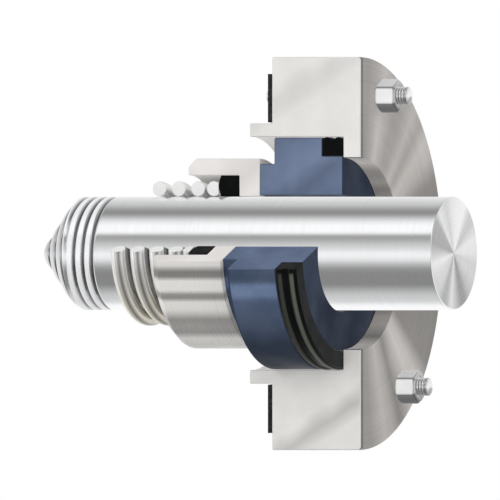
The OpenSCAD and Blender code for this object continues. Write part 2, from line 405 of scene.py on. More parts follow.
end_painted_rays = [
    (0.000, 216), (0.033, 248), (0.083, 226), (0.130, 220), (0.167, 182), (0.195, 192),
    (0.228, 234), (0.267, 198), (0.300, 160), (0.333, 162), (0.367, 200), (0.420, 222),
    (0.470, 222), (0.500, 240), (0.545, 246), (0.600, 210), (0.630, 215), (0.672, 252),
    (0.730, 246), (0.767, 238), (0.811, 217), (0.865, 240), (0.894, 182), (0.967, 178),
    (1.000, 216),
]
polished_steel = turned_metal(
    "polished_shaft_steel", polished, polished_deep, 0.14, lift=0.03, groove=groove_painted_shade
)
faced_end = turned_metal(
    "faced_shaft_end", (1, 1, 1, 1), (0.95, 0.955, 0.96, 1), 0.3, 0.8, lines=2400, stretch=0.6,
    painted_fan=end_painted_rays,
)
shaft_rings, shaft_groove_shade, shaft_crests = threaded_shaft()
shaft_bar = add_piece(
    "shaft_bar",
    [shaft_rings],
    [polished_steel, faced_end],
    lambda centre, normal: (normal[:, 0] > squarely) & (centre[:, 0] > end_zone_x),
    values={"groove": shaft_groove_shade, "crest": shaft_crests},
    sharp_angle=50,
)
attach(shaft_bar, "shaft_unit")
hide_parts("shaft")


# The shaft ring.
# A black rubber ring moulded with one bulged side. The spring pushes it along the shaft into the
# bottom of the rotary ring's skirt, where it turns with both and seals between them.
cut_height = 12.45
cut_tilt = np.radians(22)
running_r = 25.1
rubber_gap = 0.05
rubber_chamfer = 0.4
rubber_break = 0.25
shaft_ring_bulge = 1.3
rubber_black = (0.003, 0.0035, 0.0035, 1)
rubber_worn = (0.007, 0.008, 0.008, 1)


def rounded_outline(corners, radius, steps=5):
    """Rounds the corners of a closed outline.

    Each corner becomes an arc from the point one radius before it to the point one radius after
    it: (1-u)^2 of the first, 2u(1-u) of the corner and u^2 of the last, for u from 0 to 1.
    """
    corners = np.array(corners, float)
    size = np.broadcast_to(radius, len(corners))[:, None]
    before = np.roll(corners, 1, axis=0) - corners
    after = np.roll(corners, -1, axis=0) - corners
    first = (corners + before / np.linalg.norm(before, axis=1, keepdims=True) * size)[:, None]
    last = (corners + after / np.linalg.norm(after, axis=1, keepdims=True) * size)[:, None]
    u = np.linspace(0, 1, steps)[None, :, None]
    arc = (1 - u) ** 2 * first + 2 * u * (1 - u) * corners[:, None] + u ** 2 * last
    return arc.reshape(-1, 2)


def shrunk_outline(outline, inset):
    """Moves each point of a closed outline inwards, by inset from both edges that meet there.

    The shift is the sum of the two edges' outward normals over one plus their product.
    """
    ahead = np.roll(outline, -1, axis=0) - outline
    ahead /= np.linalg.norm(ahead, axis=1, keepdims=True)
    outward = np.stack([ahead[:, 1], -ahead[:, 0]], axis=1)
    behind = np.roll(outward, 1, axis=0)
    after = np.roll(outline, -1, axis=0)
    turns_left = np.sum(outline[:, 0] * after[:, 1] - outline[:, 1] * after[:, 0]) > 0
    shift = (outward + behind) / (1 + np.sum(outward * behind, axis=1, keepdims=True))
    return outline - shift * (inset if turns_left else -inset)


def upright_cut(radius, depth):
    """The angle at which a radius is a depth behind the upright cut, at the top.

    It is the arc cosine of the depth over the radius.
    """
    return np.arccos(depth / radius)


def tilted_cut(radius, depth):
    """The angle at which a radius is a depth below the tilted cut, on the near side.

    It is the tilt less half a turn, less the arc sine of the cut's height less the depth over the
    radius.
    """
    return cut_tilt - np.pi - np.arcsin((cut_height - depth) / radius)


def sawn_ring(outline, last_cut, break_size=0.3, steps=200):
    """Rings of points for a part turned about the shaft's axis and cut open.

    The outline is a closed loop of (radius, x). It sweeps round the axis from the upright cut at
    the top, by the back and the bottom, to the last cut. Next to a cut the outline shrinks by one
    minus the sine, and goes deeper by one minus the cosine, of the same quarter turn, which
    breaks the sharp edge.
    """
    quarter = np.radians([0, 30, 60, 90])
    shrinks = break_size * (1 - np.sin(quarter))
    depths = break_size * (1 - np.cos(quarter))
    edges = [shrunk_outline(outline, shrink) for shrink in shrinks]
    first = [(edge, upright_cut(edge[:, 0], depth)) for edge, depth in zip(edges, depths)]
    last = [(edge, last_cut(edge[:, 0], depth)) for edge, depth in zip(edges, depths)][::-1]
    share = np.linspace(0, 1, steps)[1:-1, None]
    sweep = first[-1][1] * (1 - share) + last[0][1] * share
    middle = [(outline, angle) for angle in sweep]
    columns = first + middle + last
    shape = np.array([edge for edge, _ in columns])
    angle = np.array([angle for _, angle in columns])
    return around_axis(shape[..., 1], shape[..., 0], angle)


def off_cut(place):
    """How far above the tilted cut a place is, negative below it: z cos - y sin - the height."""
    return place[..., 2] * np.cos(cut_tilt) - place[..., 1] * np.sin(cut_tilt) - cut_height


def which_cut(centre, normal):
    """1 for faces in the upright cut, 2 for faces in the tilted cut and 0 for all others."""
    upright = (normal[:, 1] < -0.99) & (np.abs(centre[:, 1]) < 0.05)
    tilted = (np.abs(off_cut(centre)) < 0.05) & (normal[:, 2] > 0.8)
    return np.select([upright, tilted], [1, 2], 0)


def sawn_faces(centre, normal):
    """1 for faces in either cut and 0 for all others."""
    return which_cut(centre, normal) > 0


def rubber(name, black, worn, roughness=0.5, crowns=None):
    """Moulded rubber: near black, with a faint bloom in soft patches and a fine grain.

    crowns is a colour and the radii between which the crowns of ribs turn to it, as a painted
    highlight, where the mesh's painted_highlight value lets them.
    """
    finish, tree, shader = new_finish(name, {"Metallic": 0.0, "Specular IOR Level": 0.05})
    place, _, radius, _ = turned_places(tree)
    bloom = patches(tree, place, 160, 4.0)
    colour = blended(tree, from_range(tree, bloom, 0.4, 0.75, 0.0, 1.0), black, worn)
    if crowns:
        # Painted highlight on the crowns of the ribs
        crown_colour, start_r, end_r = crowns
        crown = from_range(tree, radius, start_r * mm, end_r * mm, 0.0, 1.0)
        crown = maths(tree, "MULTIPLY", crown, mesh_value(tree, "painted_highlight"))
        colour = blended(tree, crown, colour, crown_colour)
    rough = from_range(tree, bloom, 0.3, 0.7, roughness * 0.85, roughness * 1.2)
    dress(tree, shader, colour, rough, patches(tree, place, 2600, 2.0), 0.3, 0.03)
    return finish


ring_low, ring_high = node_box("shaft_ring")
shaft_ring_outer = -ring_low[2]

# The bulged side stands out to the left by the bulge times the sine of half a turn across it
bulge_share = np.linspace(0, 1, 15)
bulge_r = running_r + (shaft_ring_outer - running_r) * bulge_share
bulge_x = ring_low[0] + shaft_ring_bulge * (1 - np.sin(np.pi * bulge_share))
bulge_side = np.stack([bulge_r, bulge_x], axis=1)
square_side = np.array([
    [shaft_ring_outer, ring_high[0] - rubber_chamfer],
    [shaft_ring_outer - rubber_chamfer, ring_high[0]],
    [running_r + rubber_chamfer, ring_high[0]],
    [running_r, ring_high[0] - rubber_chamfer],
])
black_rubber = rubber("black_moulded_rubber", rubber_black, rubber_worn)
shaft_rubber = add_piece(
    "shaft_rubber_ring",
    [sawn_ring(np.concatenate([bulge_side, square_side]), tilted_cut, rubber_break)],
    [black_rubber],
)
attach(shaft_rubber, "pusher_unit")
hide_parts("shaft_ring")


# The spring.
# Bright round wire, coiled right-handed over the shaft. Its right end is closed and ground flat,
# and bears on the shaft ring. It was sawn with the rest, so four open turns show their ends.
wire_r = 3.3
wire_break = 0.25
coil_r = 28.5
ground_x = -25.95
tip_angle = np.radians(-61)
closed_turns = 1.1
open_turns = 4
closed_lead = 6.75
open_lead = 9.3
lead_blend = 0.3
wire_pale = (1.0, 0.995, 0.985, 1)
wire_deep = (0.93, 0.92, 0.90, 1)
wire_cream = (0.92, 0.88, 0.74, 1)


def coil_lead(turns):
    """How far the wire has gone to the left after some turns.

    It is the closed lead for each turn, and past the closed turns the rest of the open lead too,
    which comes in as the square of the way over the blend.
    """
    past = turns - closed_turns
    ramped = np.where(past < lead_blend, past ** 2 / (2 * lead_blend), past - lead_blend / 2)
    return closed_lead * turns + (open_lead - closed_lead) * np.where(past < 0, 0, ramped)


def coil_part(first_angle, last_angle, steps, first_sawn):
    """Rings of one kept length of wire, with the way along it and round it for the wire's marks.

    A point is at an angle w round the wire. Its radius from the shaft is the coil's radius plus
    the wire's times cos w, and its x is the lead's plus the wire's radius times sin w, held behind
    the ground end. A sawn end lies in its cut plane, with its edge broken as on the rings.
    """
    w = np.linspace(0, 2 * np.pi, 40, endpoint=False)
    quarter = np.radians([0, 45, 90])
    shrinks = wire_break * (1 - np.sin(quarter))
    depths = wire_break * (1 - np.cos(quarter))
    edge_r = wire_r - shrinks[:, None] + 0 * w
    near_edge = coil_r + edge_r * np.cos(w)
    last = last_angle(near_edge, depths[:, None])[::-1]
    first = first_angle(near_edge, depths[:, None] if first_sawn else 0 * depths[:, None])
    first += 0 * near_edge
    share = np.linspace(0, 1, steps)[1:-1, None]
    angle = np.concatenate([first, first[-1] * (1 - share) + last[0] * share, last])
    radius = np.concatenate([edge_r, np.full((steps - 2, len(w)), wire_r), edge_r[::-1]])
    turns = (tip_angle - angle) / (2 * np.pi)
    x = ground_x + wire_r / 2 - coil_lead(turns) + radius * np.sin(w)
    points = around_axis(np.minimum(x, ground_x), coil_r + radius * np.cos(w), angle)
    return points, turns, 0 * turns + w


def cut_after(turn):
    """The tilted cut's angle in a later turn of the wire."""
    return lambda radius, depth: tilted_cut(radius, depth) - 2 * np.pi * turn


def top_after(turn):
    """The upright cut's angle in a later turn of the wire."""
    return lambda radius, depth: upright_cut(radius, depth) - 2 * np.pi * turn


def spring_wire_finish(bands):
    """Drawn wire: painted highlight bands, fine marks, and a warm cast that grows to the bottom.

    The bands are painted highlight and shade by the angle round the wire, from its outer side by
    its right side, and they fade towards the top of the coil.
    """
    finish, tree, shader = new_finish("bright_spring_wire", {"Metallic": 0.3})
    along, about = mesh_value(tree, "along"), mesh_value(tree, "about")
    place, _, _, direction = turned_places(tree)
    sine, cosine = maths(tree, "SINE", about), maths(tree, "COSINE", about)
    drawn = patches(tree, joined(tree, cosine, sine, along), 7, 4.0)
    shift = two_patches(tree, drawn, patches(tree, place, 70, 2.0), 0.7)
    colour = blended(tree, from_range(tree, shift, 0.35, 0.62, 0.0, 1.0), wire_deep, wire_pale)
    up = split(tree, direction)[2]
    band_share = from_range(tree, up, 0.3, 0.95, 1.0, 0.2)
    # Painted highlight and shade bands round the wire, fading towards the top
    colour = shaded(tree, colour, whole_turn(tree, sine, cosine), bands, band_share)
    warmth = from_range(tree, up, -1.0, 0.1, 0.85, 0.0)
    colour = blended(tree, warmth, colour, blended(tree, 1.0, colour, wire_cream, "MULTIPLY"))
    rough = from_range(tree, shift, *noise_span, 0.24, 0.15)
    dress(tree, shader, colour, rough, drawn, 0.15)
    return finish


def sawn_metal(name, pale, deep, painted_streaks, metallic=0.3, roughness=0.42, coat=0.0):
    """A flat cut through metal or ceramic, ground on a belt at a slope of 34 degrees.

    The belt's marks are noise that changes quickly across the slope and slowly along it.
    painted_streaks gives painted highlight and shade streaks by the distance across the slope, from
    -94 to 106 mm off the shaft's axis, set from 0 to 1.
    """
    constants = {"Metallic": metallic, "Coat Weight": coat, "Coat Roughness": 0.12}
    finish, tree, shader = new_finish(name, constants)
    place = own_place(tree)
    sloped = {0: place, 2: (0, np.radians(34), 0)}
    along, depth, across = split(tree, add_node(tree, "ShaderNodeMapping", sloped).outputs[0])
    wander = maths(tree, "MULTIPLY_ADD", patches(tree, place, 30, 2.0), 0.012, across)
    streak_place = maths(tree, "MULTIPLY_ADD", wander, 5.0, 0.47)
    slow = maths(tree, "MULTIPLY", along, 0.03)
    marks = patches(tree, joined(tree, slow, depth, across), 5200, 3.0)
    shift = two_patches(tree, marks, patches(tree, place, 60, 3.0), 0.3)
    colour = blended(tree, from_range(tree, shift, *noise_span, 0.0, 1.0), deep, pale)
    # Painted highlight and shade streaks across the slope
    colour = shaded(tree, colour, streak_place, painted_streaks)
    rough = from_range(tree, shift, 0.3, 0.7, roughness * 1.15, roughness * 0.85)
    dress(tree, shader, colour, rough, marks, 0.08)
    return finish


# Painted highlight and shade bands along the wire, by the angle round it
wire_painted_bands = [
    (0.000, 235), (0.100, 225), (0.240, 170), (0.318, 75), (0.340, 130), (0.370, 235),
    (0.440, 255), (0.485, 250), (0.520, 200), (0.568, 125), (0.612, 210), (0.640, 255),
    (0.735, 255), (0.765, 200), (0.790, 125), (0.818, 70), (0.880, 150), (1.000, 235),
]
# Painted highlight and shade streaks on the wire's sawn ends
wire_cut_painted_streaks = [(0.0, 248), (0.5, 255), (1.0, 250)]
coil_parts = [coil_part(lambda radius, depth: tip_angle + 0 * radius, tilted_cut, 60, False)]
coil_parts += [
    coil_part(top_after(turn), cut_after(turn), 130, True) for turn in range(1, open_turns + 1)
]
cut_wire_steel = sawn_metal(
    "cut_wire_steel", (1.0, 1.0, 0.99, 1), (0.96, 0.96, 0.95, 1), wire_cut_painted_streaks
)
spring_coil = add_piece(
    "spring_coil",
    [points for points, _, _ in coil_parts],
    [spring_wire_finish(wire_painted_bands), cut_wire_steel],
    sawn_faces,
    values={
        "along": np.concatenate([turns.ravel() for _, turns, _ in coil_parts]),
        "about": np.concatenate([about.ravel() for _, _, about in coil_parts]),
    },
    mirrored=True,
)
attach(spring_coil, "shaft_unit")
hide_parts("spring")
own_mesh(spring_coil)


# The rotary ring.
# One stainless ring, bored, faced and turned on a lathe, with a lapped seal face on its right and
# a skirt that covers the shaft ring and the closed end of the spring. Left as cut, it looks warm.
ring_warm = (1.0, 0.975, 0.93, 1)
ring_deep = (0.965, 0.938, 0.888, 1)
skirt_chamfer = 3.8

low, high = node_box("rotary_ring")
ring_r = -low[2]
ring_end_x, face_x = low[0], high[0]
web_x = ring_high[0]
skirt_r = shaft_ring_outer + rubber_gap
ring_outline = rounded_outline(
    [
        (running_r, face_x),
        (ring_r, face_x),
        (ring_r, ring_end_x + skirt_chamfer),
        (ring_r - skirt_chamfer, ring_end_x),
        (skirt_r, ring_end_x),
        (skirt_r, web_x),
        (running_r, web_x),
    ],
    [0.4, 0.4, 0.6, 0.6, 0.5, 0.4, 0.4],
)
# Painted highlight and shade streaks on the rotary ring's sawn faces
ring_cut_painted_streaks = [
    (0.0, 255), (0.56, 255), (0.60, 240), (0.64, 255), (0.68, 232), (0.73, 250), (1.0, 255),
]
# Painted reflection bands on the rotary ring's turned side, by the angle round the axis
ring_painted_bands = [
    (0.000, 225), (0.020, 225), (0.030, 130), (0.040, 142), (0.047, 246), (0.064, 250),
    (0.071, 160), (0.078, 160), (0.086, 250), (0.100, 250), (0.122, 160), (0.140, 170),
    (0.156, 155), (0.175, 225), (0.205, 200), (0.300, 225), (0.380, 170), (0.440, 235),
    (0.520, 205), (0.600, 240), (0.680, 180), (0.750, 230), (0.900, 225), (1.000, 225),
]
turned_ring_steel = turned_metal(
    "turned_ring_steel", ring_warm, ring_deep, 0.3, 0.2, lines=2600, lift=0.02, painted_fan=ring_painted_bands
)
cut_ring_steel = sawn_metal(
    "cut_ring_steel", (0.98, 0.95, 0.92, 1), (0.93, 0.895, 0.86, 1), ring_cut_painted_streaks
)
rotary_body = add_piece(
    "rotary_ring_body",
    [sawn_ring(ring_outline, tilted_cut)],
    [turned_ring_steel, cut_ring_steel],
    sawn_faces,
)
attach(rotary_body, "pusher_unit")
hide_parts("rotary_ring")


# The seat.
# A ring of slate blue ceramic, pressed, fired and ground all over, its nose lapped flat against
# the rotary ring. It stands still in the gland plate, held by the rubber ring in its rear corner.
seat_nose_r = 39.4
seat_front_x = 1.1
seat_bore_r = 25.6
groove_x = 24.2
groove_r = 42.8
rim_size = 0.98
blue_pale = (0.184, 0.248, 0.390, 1)
blue_deep = (0.122, 0.178, 0.295, 1)
blue_cut = (0.152, 0.208, 0.345, 1)
blue_cut_deep = (0.108, 0.160, 0.272, 1)
# A darker copy of the cut blue: painted shade for the tilted cut, which faces up to the light
blue_shaded = (0.097, 0.153, 0.292, 1)
blue_shaded_deep = (0.067, 0.110, 0.216, 1)
# The dark blue of the painted shade on the seat's rear face and front edge
blue_rear_shade = (0.050, 0.073, 0.128, 1)
blue_rear_shade_deep = (0.036, 0.053, 0.096, 1)


def ground_ceramic(name, pale, deep, roughness, painted_fan):
    """Ground ceramic: a slate blue body with faint clouds and a fine speckle.

    painted_fan gives painted highlight and shade bands, by the angle round the shaft's axis.
    """
    finish, tree, shader = new_finish(name, {"Metallic": 0.0, "Specular IOR Level": 0.05})
    place, _, _, direction = turned_places(tree)
    clouds = patches(tree, place, 55, 4.0)
    speckle = patches(tree, place, 1800, 2.0)
    shift = two_patches(tree, speckle, clouds, 0.25)
    colour = blended(tree, from_range(tree, shift, *noise_span, 0.0, 1.0), deep, pale)
    _, across, up = split(tree, direction)
    # Painted highlight and shade bands, by the angle round the axis
    colour = shaded(tree, colour, whole_turn(tree, up, across), painted_fan)
    rough = from_range(tree, shift, 0.3, 0.7, roughness * 1.2, roughness * 0.8)
    dress(tree, shader, colour, rough, speckle, 0.12)
    return finish


low, high = node_box("seat")
seat_r = -low[2]
seat_rear_x = high[0]
seat_outline = rounded_outline(
    [
        (seat_bore_r, seat_rear_x),
        (groove_r, seat_rear_x),
        (groove_r, groove_x),
        (seat_r, groove_x),
        (seat_r, seat_front_x),
        (seat_nose_r, seat_front_x),
        (seat_nose_r, low[0]),
        (seat_bore_r, low[0]),
    ],
    [0.8, 0.8, 0.3, 0.5, 1.0, 0.6, 0.5, 0.5],
)
# Painted highlight and shade streaks on the seat's sawn faces
seat_cut_painted_streaks = [
    (0.0, 232), (0.46, 238), (0.55, 246), (0.58, 216), (0.62, 255), (0.66, 240), (0.70, 212),
    (0.76, 240), (1.0, 236),
]
# Painted highlight and shade bands on the seat's ground sides
seat_painted_bands = [
    (0.000, 175), (0.022, 175), (0.028, 165), (0.038, 165), (0.046, 250), (0.058, 250),
    (0.068, 190), (0.085, 178), (0.110, 165), (0.140, 135), (0.200, 108), (0.300, 100),
    (0.400, 170), (0.600, 210), (0.700, 160), (1.000, 175),
]
# Painted shade on the seat's rear face, by the angle round the axis
rear_painted_shade = [
    (0.00, 235), (0.10, 225), (0.16, 200), (0.25, 205), (0.45, 235), (0.60, 240), (0.75, 215),
    (1.00, 235),
]
ground_blue = ground_ceramic("ground_blue_ceramic", blue_pale, blue_deep, 0.45, seat_painted_bands)
rear_shade_blue = ground_ceramic("shade_painted_blue_ceramic", blue_rear_shade, blue_rear_shade_deep, 0.5, rear_painted_shade)
cut_blue = sawn_metal(
    "cut_blue_ceramic", blue_cut, blue_cut_deep, seat_cut_painted_streaks, 0.0, 0.38, coat=0.25
)
# The tilted cut's finish, a darker copy painted as shade
shaded_blue = sawn_metal(
    "shaded_cut_ceramic", blue_shaded, blue_shaded_deep, seat_cut_painted_streaks, 0.0, 0.5
)


def seat_finish_of(centre, normal):
    """The sawn finish in the upright cut, its darker copy as painted shade in the tilted cut, and
    the dark finish of painted shade on the rear and the front edge.

    All other faces are ground.
    """
    radius = np.hypot(centre[:, 1], centre[:, 2])
    cut = which_cut(centre, normal)
    # The rounded front edge takes the dark finish, a painted shade line
    front_edge_shade = (radius > seat_r - rim_size) & (normal[:, 0] < -0.1) & (cut == 0)
    return np.where((normal[:, 0] > squarely) | front_edge_shade, 3, cut)


seat_body = add_piece(
    "seat_body",
    [sawn_ring(seat_outline, tilted_cut)],
    [ground_blue, cut_blue, shaded_blue, rear_shade_blue],
    seat_finish_of,
)
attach(seat_body, "stationary")
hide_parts("seat")


# The seat ring.
# A black rubber ring with two round ribs, moulded in one piece. It is squeezed between the seat's
# rear corner and the gland plate's bore. The crowns of its ribs carry a painted olive grey
# highlight.
rib_r = 1.7
rib_rise = 0.9
rib_inset = 0.6
rib_chamfer = 0.2
inner_chamfer = 0.3
left_rib_highlight = 0.4
# The olive grey of the painted highlight on the ribs' crowns
rib_highlight_olive = (0.105, 0.112, 0.090, 1)

low, high = node_box("seat_ring")
rib_outer = -low[2]
rib_foot = rib_outer - rib_rise
rib_inner = groove_r + rubber_gap

# Each rib is half an ellipse: the rise times a sine out, and its radius times a cosine along
rib_turn = np.linspace(0, np.pi, 13)
left_rib = np.stack([
    rib_foot + rib_rise * np.sin(rib_turn),
    low[0] + rib_inset + rib_r - rib_r * np.cos(rib_turn),
], axis=1)
right_rib = left_rib + [0, high[0] - low[0] - 2 * rib_r - 2 * rib_inset]
other_sides = np.array([
    [rib_foot, high[0] - rib_chamfer],
    [rib_foot - rib_chamfer, high[0]],
    [rib_inner + inner_chamfer, high[0]],
    [rib_inner, high[0] - inner_chamfer],
    [rib_inner, low[0] + inner_chamfer],
    [rib_inner + inner_chamfer, low[0]],
    [rib_foot - rib_chamfer, low[0]],
    [rib_foot, low[0] + rib_chamfer],
])
ribbed_rings = sawn_ring(np.concatenate([left_rib, right_rib, other_sides]), tilted_cut, 0.2)
right_side = smooth_step(ribbed_rings[..., 0], low[0] + 3, high[0] - 3)
# Painted highlight, fainter on the left rib and fading out near the tilted cut
rib_highlight_share = left_rib_highlight + (1 - left_rib_highlight) * right_side
rib_highlight_places = smooth_step(-off_cut(ribbed_rings), 1.6, 2.8) * rib_highlight_share
ribbed_rubber = rubber(
    "ribbed_rubber", rubber_black, rubber_worn, 0.42,
    crowns=(rib_highlight_olive, rib_outer - 0.30, rib_outer - 0.02),
)
seat_rubber = add_piece(
    "seat_rubber_ring",
    [ribbed_rings],
    [ribbed_rubber, black_rubber],
    sawn_faces,
    values={"painted_highlight": rib_highlight_places},
)
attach(seat_rubber, "stationary")
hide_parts("seat_ring")


# The gland plate and its gasket.
# A thick stainless flange, bored for the seat, with a pilot lip and a rear flange, faced in one
# setting. A thin black fibre gasket lies on its mounting face. The front half of both is sawn off.
gland_bore_r = 51.3
gland_break = 0.4
pilot_outer_r = 57.3
flange_x = 34.5
flange_r = 42.0
gland_warm = (1.0, 0.95, 0.905, 1)
gland_deep = (0.965, 0.91, 0.862, 1)
fibre_dark = (0.014, 0.014, 0.015, 1)
fibre_pale = (0.038, 0.038, 0.038, 1)


def lower_upright_cut(radius, depth):
    """The angle at which a radius is a depth behind the upright cut, at the bottom.

    It is minus the arc cosine of the depth over the radius.
    """
    return -np.arccos(depth / radius)


low, high = node_box("gland_plate")
gland_r = high[2]
front_x = high[0]
pilot_x = low[0]
gland_outline = rounded_outline(
    [
        (flange_r, front_x),
        (gland_r, front_x),
        (gland_r, 0),
        (pilot_outer_r, 0),
        (pilot_outer_r, pilot_x),
        (gland_bore_r, pilot_x),
        (gland_bore_r, flange_x),
        (flange_r, flange_x),
    ],
    [0.3, 1.0, 1.0, 0.3, 0.5, 0.8, 0.3, 0.5],
)
# Painted highlight and shade streaks on the gland's sawn faces
gland_cut_painted_streaks = [
    (0.000, 252), (0.085, 255), (0.115, 216), (0.150, 255), (0.240, 255), (0.280, 244),
    (0.350, 254), (0.700, 247), (0.730, 244), (0.755, 233), (0.775, 233), (0.810, 246),
    (1.000, 244),
]
# Painted highlight rays on the gland's faced drive side and flange bore, by angle round the axis
gland_painted_rays = [
    (0.000, 200), (0.250, 155), (0.270, 158), (0.283, 177), (0.300, 198), (0.317, 182),
    (0.333, 144), (0.350, 188), (0.367, 216), (0.383, 206), (0.402, 146), (0.450, 138),
    (0.540, 130), (0.565, 150), (0.583, 192), (0.600, 206), (0.617, 176), (0.633, 198),
    (0.652, 172), (0.667, 168), (0.683, 186), (0.700, 204), (0.717, 178), (0.735, 158),
    (0.750, 166), (1.000, 200),
]
# Painted shade on the gland's drive face along the upright cut
gland_cut_shade = [(0.0, 165), (0.06, 165), (0.16, 255), (1.0, 255)]
bored_gland_steel = turned_metal(
    "bored_gland_steel", (0.93, 0.90, 0.88, 1), (0.84, 0.81, 0.78, 1), 0.34, 0.5
)
cut_gland_steel = sawn_metal(
    "cut_gland_steel", (0.97, 0.96, 0.93, 1), (0.92, 0.905, 0.87, 1), gland_cut_painted_streaks
)
faced_gland_steel = turned_metal(
    "faced_gland_steel", gland_warm, gland_deep, 0.4, 0.5, lines=1800, lift=0.04, stretch=0.5,
    painted_fan=gland_painted_rays, edge=gland_cut_shade,
)
# A dark finish on the gland's broken outer edge, a painted shade line
gland_rim_shade = turned_metal(
    "gland_rim_shade", (0.40, 0.38, 0.36, 1), (0.33, 0.32, 0.30, 1), 0.4, 0.3
)


def gland_finish_of(centre, normal):
    """The sawn finish in the cut, and the faced one on the drive side and in the flange's bore.

    The broken edge between the drive side and the outside is dark, a painted shade line. All other
    faces are bored.
    """
    radius = np.hypot(centre[:, 1], centre[:, 2])
    faced = (normal[:, 0] > squarely) | (radius < flange_r + 0.5)
    rim = (radius > gland_r - rim_size) & (centre[:, 0] > front_x - rim_size)
    rim &= normal[:, 0] > 0.1
    return np.select([which_cut(centre, normal) > 0, faced, rim], [1, 2, 3], 0)


gland_body = add_piece(
    "gland_body",
    [sawn_ring(gland_outline, lower_upright_cut, gland_break, 160)],
    [bored_gland_steel, cut_gland_steel, faced_gland_steel, gland_rim_shade],
    gland_finish_of,
)
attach(gland_body, "stationary")
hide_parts("gland_plate")

gasket_sheet, tree, shader = new_finish("black_fibre_sheet", {"Specular IOR Level": 0.2})
place = own_place(tree)
flake = add_node(tree, "ShaderNodeTexVoronoi", {"Vector": place, "Scale": 900}).outputs["Distance"]
fibre = patches(tree, place, 700, 5.0)
fibre_share = from_range(tree, fibre, 0.4, 0.7, 0.0, 1.0)
fibre_colour = blended(tree, fibre_share, fibre_dark, fibre_pale)
fibre_rough = from_range(tree, flake, 0.0, 0.7, 0.62, 0.85)
dress(tree, shader, fibre_colour, fibre_rough, fibre, 0.35, 0.08)
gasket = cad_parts["gland_gasket"]
gasket.material_slots[0].material = gasket_sheet
gasket.visible_glossy = False


# The studs.
# Two M8 studs of nickel-plated steel. Their rolled threads stand out at both ends, the shank
# between them is waisted, and the ends on the drive side are domed. The others screw in.
stud_pitch = 1.25
thread_depth = 0.6
waist_r = 3.5
stud_chamfer = 0.8
dome_share = 0.35
nickel_pale = (1.0, 1.0, 0.995, 1)
nickel_deep = (0.95, 0.95, 0.95, 1)
# The dark of the painted shade on the studs and nuts
nickel_dark = (0.075, 0.075, 0.080, 1)


def plated_steel(name, pale, deep, dark, roughness):
    """Bright nickel plate: nearly even, with soft dull patches and a very fine grain.

    The mesh's bright value, from 0 to 1, is painted light and shade: how much a place is turned to
    the light, with what is turned away or lies in a groove painted dark.
    """
    finish, tree, shader = new_finish(name, {"Metallic": 0.8})
    place = own_place(tree)
    dull = patches(tree, place, 120, 2.0)
    colour = blended(tree, from_range(tree, dull, 0.4, 0.72, 1.0, 0.0), deep, pale)
    # Painted light and shade by the mesh's bright value
    colour = blended(tree, mesh_value(tree, "bright"), dark, colour)
    rough = from_range(tree, dull, 0.35, 0.7, roughness * 0.8, roughness * 1.5)
    dress(tree, shader, colour, rough, patches(tree, place, 900, 2.0), 0.02)
    return finish


def stud_rings(low, high):
    """Rings along a stud, from its free end to its domed end, and how bright each point is.

    Between its ends the radius is the stud's, less the thread's depth times a raised cosine of x
    over the pitch less the angle. The depth fades out towards the waist and the ends. The waist
    runs from 1 mm behind the mounting face to 4 mm short of the drive side. The dome is a quarter
    ellipse. The roots of the thread, the underside and the foot of the dome are darker.
    """
    stud_r = (high[2] - low[2]) / 2
    middle = (low[1:] + high[1:]) / 2
    dome = dome_share * stud_r
    dome_x = high[0] - dome
    angle = np.linspace(0, 2 * np.pi, 48, endpoint=False)
    free = np.linspace(low[0], -2.0, 110)
    shank = np.array([-1.5, -1.0, front_x - 4.0, front_x - 3.5])
    outer = np.linspace(front_x - 3.2, dome_x, 110)
    quarter = np.linspace(0, np.pi / 2, 9)[1:-1]
    x = np.concatenate([free, shank, outer, high[0] - dome * (1 - np.sin(quarter))])
    radius = np.full(len(x), stud_r)
    radius[:len(free)] -= np.clip(stud_chamfer - (free - low[0]), 0, None)
    radius[len(free) + 1:len(free) + 3] = waist_r
    radius[-len(quarter):] = stud_r * np.cos(quarter)
    cut = smooth_step(x, low[0] + 0.2, low[0] + 1.6) * (1 - smooth_step(x, -3.2, -2.0))
    cut += smooth_step(x, front_x - 2.5, front_x) * (1 - smooth_step(x, dome_x - 1.0, dome_x))
    wave = (0.5 + 0.5 * np.cos(2 * np.pi * x[:, None] / stud_pitch - angle)) ** 1.5
    root = cut[:, None] * wave
    under = smooth_step(-np.sin(angle), -0.1, 1.0)
    foot = np.exp(-((x[:, None] - dome_x) / 0.5) ** 2)
    # Painted shade: darker in the thread's roots, on the underside and at the foot of the dome
    bright = (1 - 0.65 * under) * (1 - 0.9 * root) * (1 - 0.6 * foot)
    return around_axis(x[:, None], radius[:, None] - thread_depth * root, angle, middle), bright


nickel = plated_steel("bright_nickel", nickel_pale, nickel_deep, nickel_dark, 0.12)
for node in ("stud_upper", "stud_lower"):
    rings, bright = stud_rings(*node_box(node))
    stud = add_piece(
        "threaded_" + node, [rings], [nickel], values={"bright": bright}, sharp_angle=50
    )
    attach(stud, "stationary")
    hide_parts(node)


# The nuts.
# Two M8 hexagon nuts of the same nickel-plated steel, chamfered on both faces and threaded
# through. Screwed down on the studs, they hold the gland plate and its gasket in place.
nut_flats = 13.0
nut_bore_r = 4.05
nut_face_r = 6.2
bore_chamfer = 0.6
face_bright = 0.55
bore_bright = 0.35
edge_power = 70
# Painted light and shade on the nut's flats, by degrees round its axis
flat_shades = [
    (0, 0.80), (90, 0.95), (100, 1.0), (130, 1.0), (143, 1.0), (147, 0.45), (151, 0.35),
    (154, 0.80), (157, 1.0), (203, 1.0), (207, 0.60), (211, 0.12), (240, 0.05), (262, 0.08),
    (275, 0.30), (300, 0.55), (360, 0.80),
]


